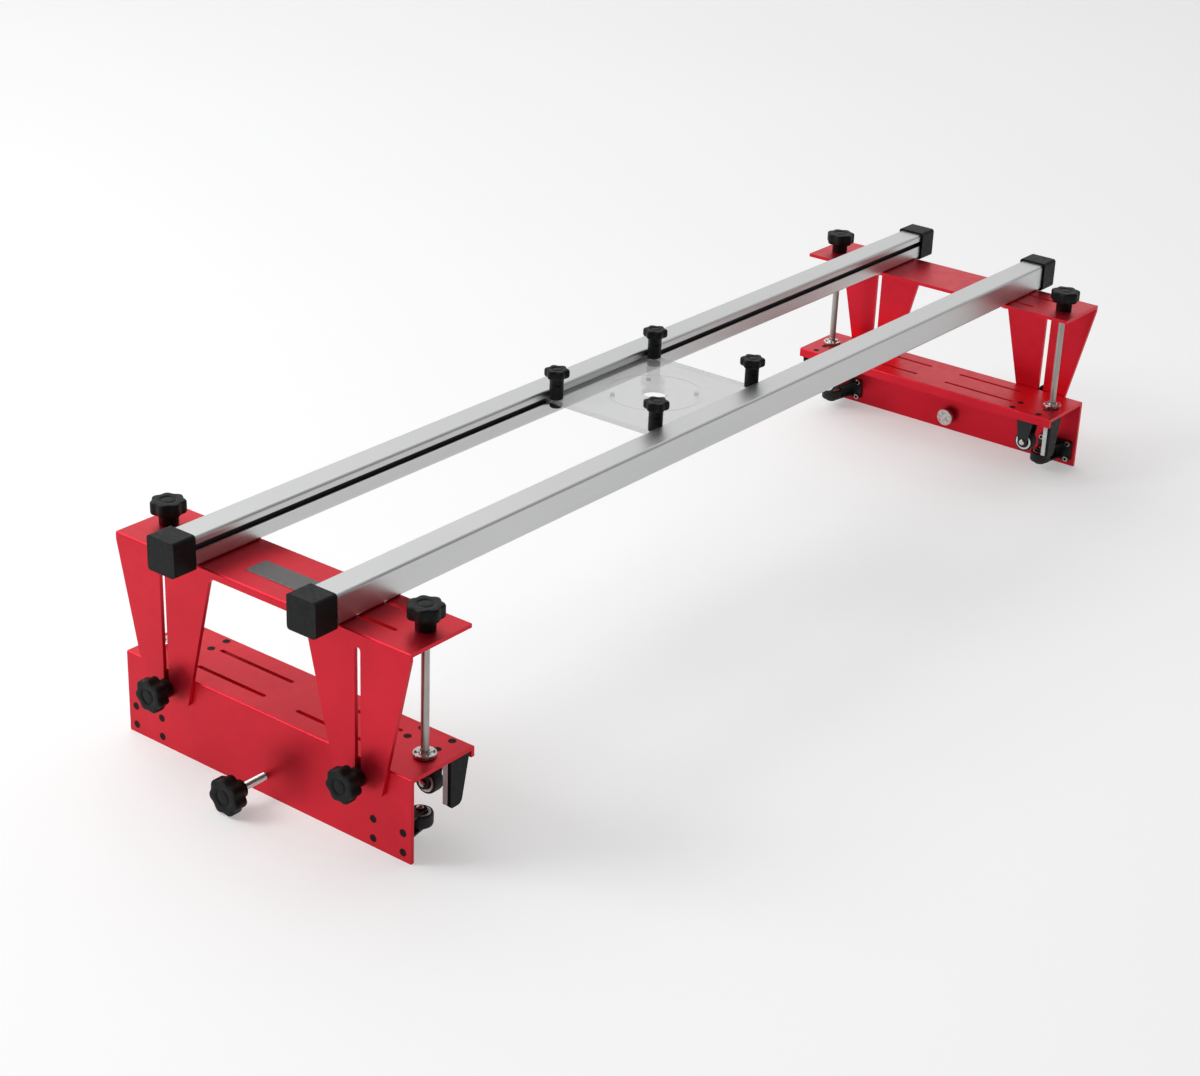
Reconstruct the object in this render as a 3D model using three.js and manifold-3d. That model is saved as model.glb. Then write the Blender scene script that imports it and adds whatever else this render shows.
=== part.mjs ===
// A router sled for flattening slabs, in millimetres, +Z up.
// Two aluminium rails carry a clear router plate along X. Each end stands on a
// red sheet-metal carriage whose wheels roll along Y on the edge of a bench, and
// four screws raise or lower the rails over the carriages.
import * as THREE from "three";
import { mergeVertices } from "three/addons/utils/BufferGeometryUtils.js";
import Module from "manifold-3d";

const wasm = await Module();
wasm.setup();

// Driving dimensions.
const GAP = 0.3;
const SHEET = 4;
const BEND = { outer: 1.6, inner: 0.6 };

const SKIRT_FACE = 618;
const CARRIAGE = { halfWidth: 183, height: 86, depth: 84, lip: 11 };
const SADDLE = { halfWidth: 185, top: 212, depth: 80, apron: 8 };
const LEG = { y: 123.5, topHalf: 61.5, bottomHalf: 28.5, bottom: 57, slotWidth: 7, slotTop: 198 };
const RAIL = { size: 30, halfLength: 651, y: 88, slotWidth: 6.3, slotHeight: 19, slotDepth: 6 };
const CAP = { size: 35, length: 27, wall: 3 };

const DECK_SLOT_ROWS = [{ x: 558, end: 118 }, { x: 594.5, end: 110 }];
const SADDLE_SLOT_ROWS = [{ x: 561, end: 130 }, { x: 596, end: 146 }];
const DECK_SLOT_WIDTH = 4.8;

const SCREW = { x: 577, y: 162, radius: 4, bottom: 75, collarRadius: 7 };
const NUT = { flangeRadius: 11, flange: 3.5, bodyRadius: 5.1, above: 2, below: 10 };
const LOCK = { z: 19, radius: 4, knobX: 663, padRadius: 11, padInner: 603, padThickness: 5 };
const LEG_LOCK = { z: 69, radius: 3, inner: 606 };

const CASTER = { length: 46, width: 26, base: 2.5, drop: 38, wheelRadius: 12.5, wheelWidth: 13 };
const TOP_CASTER = { x: 551.5, y: 145 };
const SIDE_CASTER = { y: 155.5, z: 19 };
const GUARD = { inner: 540, outer: 565, bottom: 33, sheet: 3, flange: 9.5 };
const AXLE_RADIUS = 2.5;
const ROUTER_SCREW_RADIUS = 2.7;
const SCRIBED_RING = { radius: 52, width: 0.6, depth: 0.3 };

const PLATE = { x: -35, halfLength: 90, halfWidth: 77, thickness: 5.4, hole: 14, router: 32 };
const CLAMP = { x: 85.5, y: 65.2, radius: 7.5, neck: 3, foot: 3.5, top: 250 };

const STAR = { radius: 17.5, lobes: 7, depth: 2.2, head: 14, hubRadius: 9.5, hub: 10.5, bore: 4.3 };
const BIG_STAR = { ...STAR, radius: 19, head: 15, hubRadius: 9, hub: 9 };
const SMALL_STAR = { radius: 13.5, lobes: 6, depth: 2.4, head: 10, hubRadius: 7.5, hub: 7, bore: 0 };

// Values that follow from the driving dimensions.
const SKIRT_BACK = SKIRT_FACE - SHEET;
const LEG_FACE = SKIRT_FACE + GAP + SHEET;
const DECK_UNDER = CARRIAGE.height - SHEET;
const RAIL_BOTTOM = SADDLE.top + GAP;
const RAIL_MIDDLE = RAIL_BOTTOM + RAIL.size / 2;
const SLOT_MIDDLE = RAIL_BOTTOM + RAIL.slotHeight;

const materials = {
  red: () => new THREE.MeshStandardMaterial({ color: 0xb3122a, roughness: 0.35, metalness: 0.2 }),
  aluminium: () => new THREE.MeshStandardMaterial({ color: 0xc4c6c8, roughness: 0.4, metalness: 1 }),
  steel: () => new THREE.MeshStandardMaterial({ color: 0xd0d0ce, roughness: 0.2, metalness: 1 }),
  black: () => new THREE.MeshStandardMaterial({ color: 0x1c1f1e, roughness: 0.55, metalness: 0 }),
  fork: () => new THREE.MeshStandardMaterial({ color: 0x191b1c, roughness: 0.35, metalness: 0.6 }),
  tyre: () => new THREE.MeshStandardMaterial({ color: 0x141514, roughness: 0.7, metalness: 0 }),
  acrylic: () => new THREE.MeshStandardMaterial({ color: 0xe6eaea, roughness: 0.15, metalness: 0 }),
};

// ---- small geometry helpers ----

function solid(geometry) {
  const bare = geometry.clone();
  bare.deleteAttribute("normal");
  bare.deleteAttribute("uv");
  const merged = mergeVertices(bare, 1e-4);
  const vertProperties = new Float32Array(merged.attributes.position.array);
  const triVerts = new Uint32Array(merged.index.array);
  return new wasm.Manifold(new wasm.Mesh({ numProp: 3, vertProperties, triVerts }));
}

function geometryOf(manifold) {
  const mesh = manifold.getMesh();
  const geometry = new THREE.BufferGeometry();
  geometry.setAttribute("position", new THREE.BufferAttribute(mesh.vertProperties, 3));
  geometry.setIndex(new THREE.BufferAttribute(mesh.triVerts, 1));
  geometry.computeVertexNormals();
  return geometry;
}

function alongZ(shape, from, to, segments = 8) {
  const options = { depth: to - from, bevelEnabled: false, curveSegments: segments };
  return new THREE.ExtrudeGeometry(shape, options).translate(0, 0, from);
}

// The shape's x and y become world Y and Z.
function alongX(shape, from, to, segments = 8) {
  const turn = new THREE.Matrix4().makeBasis(
    new THREE.Vector3(0, 1, 0),
    new THREE.Vector3(0, 0, 1),
    new THREE.Vector3(1, 0, 0),
  );
  return alongZ(shape, 0, to - from, segments).applyMatrix4(turn).translate(from, 0, 0);
}

// The shape's x and y become world X and Z.
function alongY(shape, from, to, segments = 8) {
  return alongZ(shape, 0, to - from, segments).rotateX(Math.PI / 2).translate(0, to, 0);
}

function roundedRect(halfWidth, halfHeight, radius, x = 0, y = 0) {
  const shape = new THREE.Shape();
  const w = halfWidth - radius;
  const h = halfHeight - radius;
  shape.absarc(x + w, y + h, radius, 0, Math.PI / 2, false);
  shape.absarc(x - w, y + h, radius, Math.PI / 2, Math.PI, false);
  shape.absarc(x - w, y - h, radius, Math.PI, Math.PI * 1.5, false);
  shape.absarc(x + w, y - h, radius, Math.PI * 1.5, Math.PI * 2, false);
  return shape;
}

function circle(radius, x = 0, y = 0) {
  const shape = new THREE.Shape();
  shape.absarc(x, y, radius, 0, Math.PI * 2, false);
  return shape;
}

// A slot with round ends between two values of the shape's y.
function slotAlongY(x, from, to, width) {
  return roundedRect(width / 2, (to - from) / 2, width / 2 - 0.01, x, (from + to) / 2);
}

function polygon(points) {
  return new THREE.Shape(points.map(([x, y]) => new THREE.Vector2(x, y)));
}

function lathe(profile, segments) {
  const points = profile.map(([r, z]) => new THREE.Vector2(r, z));
  return new THREE.LatheGeometry(points, segments).rotateX(Math.PI / 2);
}

function subtractAll(body, cutters) {
  return cutters.reduce((left, cutter) => left.subtract(solid(cutter)), body);
}

function part(name, geometry, material) {
  const mesh = new THREE.Mesh(geometry, materials[material]());
  mesh.name = name;
  return mesh;
}

// ---- rails ----

function railShape() {
  const half = RAIL.size / 2;
  const corner = 3;
  const mouth = RAIL.slotWidth / 2;
  const channel = mouth + 2.2;
  const lipDepth = 2;
  const v = RAIL.slotHeight - half;
  const shape = roundedRect(half, half, corner);
  const groove = polygon([
    [half + 1, v - mouth],
    [half - lipDepth, v - mouth],
    [half - lipDepth, v - channel],
    [half - RAIL.slotDepth, v - channel],
    [half - RAIL.slotDepth, v + channel],
    [half - lipDepth, v + channel],
    [half - lipDepth, v + mouth],
    [half + 1, v + mouth],
  ]);
  const chamber = roundedRect(7, half - 2.5, 1.5, -5.5, 0);
  return { shape, groove, chamber };
}

function rail() {
  const { shape, groove, chamber } = railShape();
  const length = RAIL.halfLength;
  const bar = solid(alongX(shape, -length, length, 3));
  const cut = subtractAll(bar, [
    alongX(groove, -length - 1, length + 1),
    alongX(chamber, -length - 1, length + 1, 3),
  ]);
  return geometryOf(cut);
}

function railCap() {
  const outer = roundedRect(CAP.size / 2, CAP.size / 2, 3.5);
  const cavity = roundedRect(RAIL.size / 2 + GAP, RAIL.size / 2 + GAP, 3.2);
  const cup = solid(alongX(outer, 0, CAP.length, 4));
  return geometryOf(cup.subtract(solid(alongX(cavity, -1, CAP.length - CAP.wall, 4))));
}

// ---- sheet-metal brackets, drawn for the end at +X ----

// An outline bent from sheet: a vertical flange at the outside and a flat deck.
function bentProfile(face, top, bottom, depth, lip) {
  const edge = face - depth;
  const { outer, inner } = BEND;
  const hollow = SHEET + inner;
  const shape = new THREE.Shape();
  shape.moveTo(face - SHEET, bottom);
  shape.lineTo(face, bottom);
  shape.absarc(face - outer, top - outer, outer, 0, Math.PI / 2, false);
  if (lip > 0) {
    shape.absarc(edge + outer, top - outer, outer, Math.PI / 2, Math.PI, false);
    shape.lineTo(edge, top - lip);
    shape.lineTo(edge + SHEET, top - lip);
    shape.absarc(edge + hollow, top - hollow, inner, Math.PI, Math.PI / 2, true);
  } else {
    shape.lineTo(edge, top);
    shape.lineTo(edge, top - SHEET);
  }
  shape.absarc(face - hollow, top - hollow, inner, Math.PI / 2, 0, true);
  return shape;
}

function carriage() {
  const { halfWidth, height, depth, lip } = CARRIAGE;
  const profile = bentProfile(SKIRT_FACE, height, 0, depth, lip);
  const body = solid(alongY(profile, -halfWidth, halfWidth, 3));
  const deck = [DECK_UNDER - 1, height + 1];
  const skirt = [SKIRT_BACK - 1, SKIRT_FACE + 1];
  const cutters = [alongX(circle(LOCK.radius + GAP, 0, LOCK.z), ...skirt)];
  for (const side of [-1, 1]) {
    for (const { x, end } of DECK_SLOT_ROWS) {
      const ends = [20 * side, end * side].sort((a, b) => a - b);
      cutters.push(alongZ(slotAlongY(x, ...ends, DECK_SLOT_WIDTH), ...deck, 2));
    }
    cutters.push(alongZ(circle(NUT.bodyRadius + GAP, SCREW.x, side * SCREW.y), ...deck));
    cutters.push(alongX(circle(LEG_LOCK.radius + GAP, side * LEG.y, LEG_LOCK.z), ...skirt));
  }
  return geometryOf(subtractAll(body, cutters));
}

function saddleOutline() {
  const { halfWidth, top, apron } = SADDLE;
  const right = [
    [halfWidth, top + 1],
    [halfWidth, top - apron],
    [LEG.y + LEG.bottomHalf, LEG.bottom + 3],
    [LEG.y + LEG.bottomHalf - 3, LEG.bottom],
    [LEG.y - LEG.bottomHalf + 3, LEG.bottom],
    [LEG.y - LEG.bottomHalf, LEG.bottom + 3],
    [LEG.y - LEG.topHalf - 1, top - apron - 5],
    [LEG.y - LEG.topHalf - 5, top - apron],
  ];
  const left = right.map(([y, z]) => [-y, z]).reverse();
  return polygon([...right, ...left]);
}

function saddle() {
  const { halfWidth, top, depth } = SADDLE;
  const profile = bentProfile(LEG_FACE, top, LEG.bottom, depth, 0);
  const sheet = solid(alongY(profile, -halfWidth, halfWidth, 3));
  const outline = solid(alongX(saddleOutline(), LEG_FACE - depth - 1, LEG_FACE + 1));
  const deck = [top - SHEET - 1, top + 1];
  const flange = [LEG_FACE - SHEET - 1, LEG_FACE + 1];
  const cutters = [];
  for (const side of [-1, 1]) {
    const y = side * LEG.y;
    const bottom = LEG_LOCK.z - LEG.slotWidth / 2 - 1;
    cutters.push(alongX(slotAlongY(y, bottom, LEG.slotTop, LEG.slotWidth), ...flange, 2));
    for (const { x, end } of SADDLE_SLOT_ROWS) {
      const ends = [76 * side, end * side].sort((a, b) => a - b);
      cutters.push(alongZ(slotAlongY(x, ...ends, DECK_SLOT_WIDTH), ...deck, 2));
    }
    cutters.push(alongZ(circle(SCREW.radius + GAP, SCREW.x, side * SCREW.y), ...deck));
  }
  return geometryOf(subtractAll(sheet.intersect(outline), cutters));
}

// ---- star knobs: the hub stands on z = 0 and the head is above it ----

function starShape(radius, lobes, depth) {
  const points = [];
  const steps = lobes * 5;
  for (let i = 0; i < steps; i += 1) {
    const angle = (i / steps) * Math.PI * 2;
    const r = radius - depth * (1 - Math.cos(lobes * angle)) / 2;
    points.push(new THREE.Vector2(r * Math.cos(angle), r * Math.sin(angle)));
  }
  return new THREE.Shape(points);
}

function starKnob({ radius, lobes, depth, head, hubRadius, hub, bore }) {
  const bevel = 1.5;
  const outline = starShape(radius - bevel, lobes, depth);
  const options = {
    depth: head - 2 * bevel,
    bevelEnabled: true,
    bevelThickness: bevel,
    bevelSize: bevel,
    bevelSegments: 1,
  };
  const star = new THREE.ExtrudeGeometry(outline, options).translate(0, 0, hub + bevel);
  const stem = lathe([[0, 0], [hubRadius, 0], [hubRadius, hub + 1], [0, hub + 1]], 18);
  const knob = solid(star).add(solid(stem));
  if (bore === 0) return knob;
  const hole = lathe([[0, -1], [bore, -1], [bore, hub + head * 0.4], [0, hub + head * 0.4]], 16);
  return knob.subtract(solid(hole));
}

function studKnob(star, studRadius, length) {
  const stud = lathe([[0, -length], [studRadius - 0.5, -length], [studRadius, 0.5 - length],
    [studRadius, 1], [0, 1]], 16);
  return geometryOf(starKnob({ ...star, bore: 0 }).add(solid(stud)));
}

// ---- height screws ----

function heightScrew() {
  const r = SCREW.radius;
  const collarTop = SADDLE.top - SHEET - GAP;
  const top = SADDLE.top + STAR.hub + STAR.head * 0.4 - GAP;
  const profile = [
    [0, SCREW.bottom],
    [r - 0.8, SCREW.bottom],
    [r, SCREW.bottom + 0.8],
    [r, collarTop - 6],
    [SCREW.collarRadius, collarTop - 6],
    [SCREW.collarRadius, collarTop],
    [r, collarTop],
    [r, top],
    [0, top],
  ];
  return lathe(profile, 20);
}

function screwNut() {
  const bore = SCREW.radius + GAP;
  const { flangeRadius, flange, bodyRadius, above, below } = NUT;
  const profile = [
    [bore, -below],
    [bodyRadius, -below],
    [bodyRadius, 0],
    [flangeRadius, 0],
    [flangeRadius, flange],
    [bodyRadius + 1, flange],
    [bodyRadius + 1, flange + above],
    [bore, flange + above],
    [bore, -below],
  ];
  return lathe(profile, 20);
}

// ---- casters: the base plate's top is z = 0 and the axle runs along X ----

function casterFork() {
  const { length, width, base, drop, wheelWidth } = CASTER;
  const plate = solid(alongZ(roundedRect(width / 2, length / 2, 3), -base, 0, 3));
  const armInner = wheelWidth / 2 + 1;
  const arm = new THREE.Shape();
  arm.moveTo(13, -base / 2);
  arm.lineTo(-13, -base / 2);
  arm.lineTo(-11, -base - 6);
  arm.absarc(0, -drop, 6.5, Math.PI * 0.9, Math.PI * 2.1, false);
  arm.lineTo(11, -base - 6);
  const pin = circle(AXLE_RADIUS, 0, -drop);
  const head = circle(AXLE_RADIUS + 1.2, 0, -drop);
  const pieces = [
    alongX(pin, -armInner - 1, armInner + 1, 5),
    alongX(arm, armInner, armInner + 2, 5),
    alongX(arm, -armInner - 2, -armInner, 5),
    alongX(head, armInner + 1, armInner + 3, 5),
    alongX(head, -armInner - 3, -armInner - 1, 5),
  ];
  return geometryOf(pieces.reduce((fork, piece) => fork.add(solid(piece)), plate));
}

function casterWheel() {
  const half = CASTER.wheelWidth / 2;
  const r = CASTER.wheelRadius;
  const bore = AXLE_RADIUS + GAP;
  const profile = [
    [bore, -half],
    [bore + 2.5, -half],
    [bore + 3.2, -half + 1],
    [r - 3, -half + 1],
    [r - 2, -half],
    [r - 0.8, -half + 0.4],
    [r, -half + 1.8],
    [r, half - 1.8],
    [r - 0.8, half - 0.4],
    [r - 2, half],
    [r - 3, half - 1],
    [bore + 3.2, half - 1],
    [bore + 2.5, half],
    [bore, half],
    [bore, -half],
  ];
  const points = profile.map(([radius, x]) => new THREE.Vector2(radius, x));
  return new THREE.LatheGeometry(points, 20).rotateZ(-Math.PI / 2);
}

// ---- end guards, drawn in XZ and hung under the deck at its +Y end ----

function endGuard() {
  const top = DECK_UNDER - GAP;
  const { inner, outer, bottom, sheet, flange } = GUARD;
  const corner = 6.5;
  const sweep = new THREE.Shape();
  sweep.moveTo(outer, top);
  sweep.lineTo(inner, top);
  sweep.absarc(inner + 9 + corner, bottom + corner, corner, Math.PI * 1.05, Math.PI * 1.5, false);
  sweep.absarc(outer - 3, bottom + 3, 3, Math.PI * 1.5, Math.PI * 2, false);
  const face = CARRIAGE.halfWidth - 0.5;
  const span = (depth) => [face - depth, face];
  const rect = (from, to, low, high) => polygon([[from, low], [to, low], [to, high], [from, high]]);
  const foot = alongY(rect(inner, outer, top - sheet, top), ...span(12));
  const flank = alongY(rect(outer - sheet, outer, bottom + 2, top), ...span(flange));
  return geometryOf(solid(alongY(sweep, ...span(sheet), 5)).add(solid(foot)).add(solid(flank)));
}

// ---- router plate and its clamps ----

function routerPlate() {
  const half = PLATE.thickness / 2;
  const outline = roundedRect(PLATE.halfLength, PLATE.halfWidth, 2);
  const holes = [alongZ(circle(PLATE.hole), -half - 1, half + 1, 20)];
  for (const x of [-CLAMP.x, CLAMP.x]) {
    for (const y of [-CLAMP.y, CLAMP.y]) {
      holes.push(alongZ(circle(CLAMP.neck + GAP, x, y), -half - 1, half + 1));
      const screw = circle(ROUTER_SCREW_RADIUS, Math.sign(x) * PLATE.router, Math.sign(y) * PLATE.router);
      holes.push(alongZ(screw, -half - 1, half + 1, 6));
    }
  }
  const { radius, width, depth } = SCRIBED_RING;
  const inner = radius - width / 2;
  const outer = radius + width / 2;
  const floor = half - depth;
  const scribe = [[inner, floor], [outer, floor], [outer, half + 1], [inner, half + 1], [inner, floor]];
  holes.push(lathe(scribe, 36));
  return geometryOf(subtractAll(solid(alongZ(outline, -half, half, 3)), holes));
}

function plateClamp() {
  const under = SLOT_MIDDLE - PLATE.thickness / 2 - GAP;
  const over = SLOT_MIDDLE + PLATE.thickness / 2 + GAP;
  const profile = [
    [0, under - CLAMP.foot],
    [CLAMP.radius - 1, under - CLAMP.foot],
    [CLAMP.radius - 0.5, under - CLAMP.foot + 0.5],
    [CLAMP.radius - 0.5, under],
    [CLAMP.neck, under],
    [CLAMP.neck, over],
    [CLAMP.radius, over],
    [CLAMP.radius, CLAMP.top],
    [0, CLAMP.top],
  ];
  return lathe(profile, 20);
}

// ---- assembly ----

function addCaster(group, name, wheelName) {
  group.add(part(name, casterFork(), "fork"));
  const wheel = part(wheelName, casterWheel(), "tyre");
  wheel.position.z = -CASTER.drop;
  group.add(wheel);
}

function addKnobSet(end, prefix, side, place) {
  const nut = part(`${prefix}_screw_nut_${place}`, screwNut(), "steel");
  nut.position.set(SCREW.x, side * SCREW.y, CARRIAGE.height + GAP);
  const screw = part(`${prefix}_height_screw_${place}`, heightScrew(), "steel");
  screw.position.set(SCREW.x, side * SCREW.y, 0);
  const knob = part(`${prefix}_height_knob_${place}`, geometryOf(starKnob(STAR)), "black");
  knob.position.set(SCREW.x, side * SCREW.y, SADDLE.top + GAP);
  const stud = LEG_FACE + GAP - LEG_LOCK.inner;
  const lock = part(`${prefix}_leg_lock_${place}`, studKnob(STAR, LEG_LOCK.radius, stud), "black");
  lock.rotation.y = Math.PI / 2;
  lock.position.set(LEG_FACE + GAP, side * LEG.y, LEG_LOCK.z);
  end.add(nut, screw, knob, lock);
}

function addCasters(end, prefix, side, place) {
  const top = new THREE.Group();
  top.position.set(TOP_CASTER.x, side * TOP_CASTER.y, DECK_UNDER - GAP);
  addCaster(top, `${prefix}_top_caster_${place}`, `${prefix}_top_wheel_${place}`);
  const lateral = new THREE.Group();
  lateral.position.set(SKIRT_BACK - GAP, side * SIDE_CASTER.y, SIDE_CASTER.z);
  lateral.rotation.y = Math.PI / 2;
  addCaster(lateral, `${prefix}_side_caster_${place}`, `${prefix}_side_wheel_${place}`);
  end.add(top, lateral);
}

// The edge lock's knob and screw are one piece; a loose steel pad is on its inner end.
function addEdgeLock(end, prefix) {
  const headBack = LOCK.knobX - BIG_STAR.head / 2 - BIG_STAR.hub;
  const inner = LOCK.padInner + 2;
  const lock = studKnob(BIG_STAR, LOCK.radius, headBack - inner);
  const screw = part(`${prefix}_edge_lock`, lock, "black");
  screw.rotation.y = Math.PI / 2;
  screw.position.set(headBack, 0, LOCK.z);
  const bore = LOCK.radius + GAP;
  const { padRadius, padThickness } = LOCK;
  const profile = [
    [0, 0],
    [padRadius - 0.8, 0],
    [padRadius, 0.8],
    [padRadius, padThickness],
    [bore, padThickness],
    [bore, 2 - GAP],
    [0, 2 - GAP],
  ];
  const pad = part(`${prefix}_lock_pad`, lathe(profile, 26), "steel");
  pad.rotation.y = Math.PI / 2;
  pad.position.set(LOCK.padInner, 0, LOCK.z);
  end.add(screw, pad);
}

function sledEnd(prefix, turned) {
  const end = new THREE.Group();
  end.add(part(`${prefix}_carriage`, carriage(), "red"));
  end.add(part(`${prefix}_saddle`, saddle(), "red"));
  for (const side of [-1, 1]) {
    const place = side * (turned ? -1 : 1) > 0 ? "rear" : "front";
    addKnobSet(end, prefix, side, place);
    addCasters(end, prefix, side, place);
    const guard = part(`${prefix}_end_guard_${place}`, endGuard(), "black");
    guard.rotation.z = side > 0 ? 0 : Math.PI;
    guard.position.x = side > 0 ? 0 : GUARD.inner + GUARD.outer;
    end.add(guard);
    const cap = part(`rail_cap_${prefix}_${place}`, railCap(), "black");
    cap.position.set(RAIL.halfLength + CAP.wall + GAP - CAP.length, side * RAIL.y, RAIL_MIDDLE);
    end.add(cap);
  }
  addEdgeLock(end, prefix);
  end.rotation.z = turned ? Math.PI : 0;
  return end;
}

function railsGroup() {
  const group = new THREE.Group();
  for (const side of [-1, 1]) {
    const bar = part(side < 0 ? "rail_front" : "rail_rear", rail(), "aluminium");
    bar.rotation.z = side < 0 ? 0 : Math.PI;
    bar.position.set(0, side * RAIL.y, RAIL_MIDDLE);
    group.add(bar);
  }
  return group;
}

function routerCarriage() {
  const group = new THREE.Group();
  const plate = part("router_plate", routerPlate(), "acrylic");
  plate.position.z = SLOT_MIDDLE;
  group.add(plate);
  for (const [end, x] of [["near", -CLAMP.x], ["far", CLAMP.x]]) {
    for (const [place, y] of [["front", -CLAMP.y], ["rear", CLAMP.y]]) {
      const clamp = part(`plate_clamp_${end}_${place}`, plateClamp(), "black");
      clamp.position.set(x, y, 0);
      const knob = part(`clamp_knob_${end}_${place}`, geometryOf(starKnob(SMALL_STAR)), "black");
      knob.position.set(x, y, CLAMP.top + GAP);
      group.add(clamp, knob);
    }
  }
  group.position.x = PLATE.x;
  return group;
}

const sled = new THREE.Group();
sled.add(railsGroup());
sled.add(sledEnd("near", true));
sled.add(sledEnd("far", false));
sled.add(routerCarriage());

export default sled;
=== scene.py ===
# The looks of a router sled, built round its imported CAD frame.
# Places in the scene are in metres and mesh profiles in millimetres.
import math

import bmesh
import bpy
from mathutils import Matrix, Vector


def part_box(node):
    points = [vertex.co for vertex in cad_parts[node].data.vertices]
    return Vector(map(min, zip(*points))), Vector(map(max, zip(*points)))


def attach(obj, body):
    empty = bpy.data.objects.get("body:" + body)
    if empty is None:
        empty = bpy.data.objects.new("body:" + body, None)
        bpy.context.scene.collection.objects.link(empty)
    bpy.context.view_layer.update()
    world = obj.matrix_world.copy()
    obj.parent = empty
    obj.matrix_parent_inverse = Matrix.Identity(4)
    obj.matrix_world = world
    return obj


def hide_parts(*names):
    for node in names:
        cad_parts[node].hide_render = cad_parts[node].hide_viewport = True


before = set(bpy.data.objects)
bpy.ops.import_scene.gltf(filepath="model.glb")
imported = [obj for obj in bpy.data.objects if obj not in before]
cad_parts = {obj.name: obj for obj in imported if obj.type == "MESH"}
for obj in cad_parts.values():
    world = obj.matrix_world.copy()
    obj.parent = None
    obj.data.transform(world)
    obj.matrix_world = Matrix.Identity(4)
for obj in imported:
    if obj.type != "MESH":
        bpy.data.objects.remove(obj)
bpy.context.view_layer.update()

MM = 0.001
TAU = 2 * math.pi
ENDS = {"near": -1, "far": 1}
PLACES = {"front": -1, "rear": 1}
CORNERS = [(end, place) for end in ENDS for place in PLACES]

# Clearances and sizes in millimetres.
GAP = 0.3
SHEET = 4.0
SADDLE_UNDER = 208.0
ROD_TOP = 222
NUT_FLANGE = 3.5
NUT_SCREW_CIRCLE = 8.4
AXLE_PROUD = 4.0
CASTER_SCREW_SPOTS = [(-18, -10), (18, -10), (-18, 10), (18, 10)]
GUARD_STRIP = {"width": 5.4, "shorter": 4, "inset": 6.6, "lift": 0.5}

# Places in metres.
SKIRT_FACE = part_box("far_carriage")[1].x
SKIRT_BACK = SKIRT_FACE - SHEET * MM
DECK_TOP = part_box("far_carriage")[1].z
SADDLE_BOLT_ROWS = (0.561, 0.596)
SADDLE_BOLT_OUTWARD = 4 * MM
LABEL_OUTWARD = 4 * MM
CASTER_BASE = 2.5 * MM
RAIL_SLOT_DEPTH = 6 * MM
LEG_LOCK_Y = 123.5 * MM
LEG_LOCK_Z = 69 * MM

# Star knobs in millimetres.
STAR = {"radius": 17.5, "lobes": 7, "depth": 2.2, "head": 14.0, "hub_radius": 9.5, "hub": 10.5}
BIG_STAR = {"radius": 19.0, "lobes": 7, "depth": 2.2, "head": 15.0, "hub_radius": 9.0, "hub": 9.0}
SMALL_STAR = {"radius": 13.5, "lobes": 6, "depth": 2.4, "head": 10.0, "hub_radius": 7.5, "hub": 7.0}


# ---- node materials -------------------------------------------------------


class Shade:
    """A Principled material with short helpers for its node tree."""

    def __init__(self, name, color, roughness, metallic=0.0):
        self.material = bpy.data.materials.new(name)
        self.material.use_nodes = True
        self.tree = self.material.node_tree
        self.shader = self.tree.nodes["Principled BSDF"]
        self.shader.inputs["Base Color"].default_value = (*color, 1.0)
        self.shader.inputs["Roughness"].default_value = roughness
        self.shader.inputs["Metallic"].default_value = metallic
        self.height = None

    def node(self, kind, **values):
        made = self.tree.nodes.new(kind)
        for key, value in values.items():
            if key in made.inputs:
                made.inputs[key].default_value = value
            else:
                setattr(made, key, value)
        return made

    def link(self, output, target):
        self.tree.links.new(output, target)
        return output

    def coords(self, scale=(1, 1, 1)):
        where = self.node("ShaderNodeTexCoord")
        mapping = self.node("ShaderNodeMapping", Scale=scale)
        self.link(where.outputs["Object"], mapping.inputs["Vector"])
        return mapping.outputs["Vector"]

    def noise(self, size, scale=(1, 1, 1), detail=3.0, roughness=0.5):
        """Noise whose features are about size metres across."""
        made = self.node("ShaderNodeTexNoise", Scale=1 / size, Detail=detail, Roughness=roughness)
        self.link(self.coords(scale), made.inputs["Vector"])
        return made.outputs["Fac"]

    def ramp(self, factor, *stops):
        made = self.node("ShaderNodeValToRGB")
        ramp = made.color_ramp
        while len(ramp.elements) < len(stops):
            ramp.elements.new(0.5)
        for element, (position, color) in zip(ramp.elements, stops):
            element.position = position
            element.color = (*color, 1.0) if len(color) == 3 else color
        self.link(factor, made.inputs["Fac"])
        return made.outputs["Color"]

    def span(self, factor, low, high, start=0.3, end=0.7):
        """Maps the factor's middle stretch to low..high."""
        made = self.node("ShaderNodeMapRange")
        made.inputs["From Min"].default_value = start
        made.inputs["From Max"].default_value = end
        made.inputs["To Min"].default_value = low
        made.inputs["To Max"].default_value = high
        self.link(factor, made.inputs["Value"])
        return made.outputs["Result"]

    def color(self, output):
        self.link(output, self.shader.inputs["Base Color"])

    def roughness(self, output):
        self.link(output, self.shader.inputs["Roughness"])

    def bump(self, height, strength, depth):
        made = self.node("ShaderNodeBump", Strength=strength, Distance=depth)
        self.link(height, made.inputs["Height"])
        if self.height is not None:
            self.link(self.height, made.inputs["Normal"])
        self.height = made.outputs["Normal"]
        self.link(self.height, self.shader.inputs["Normal"])


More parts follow.
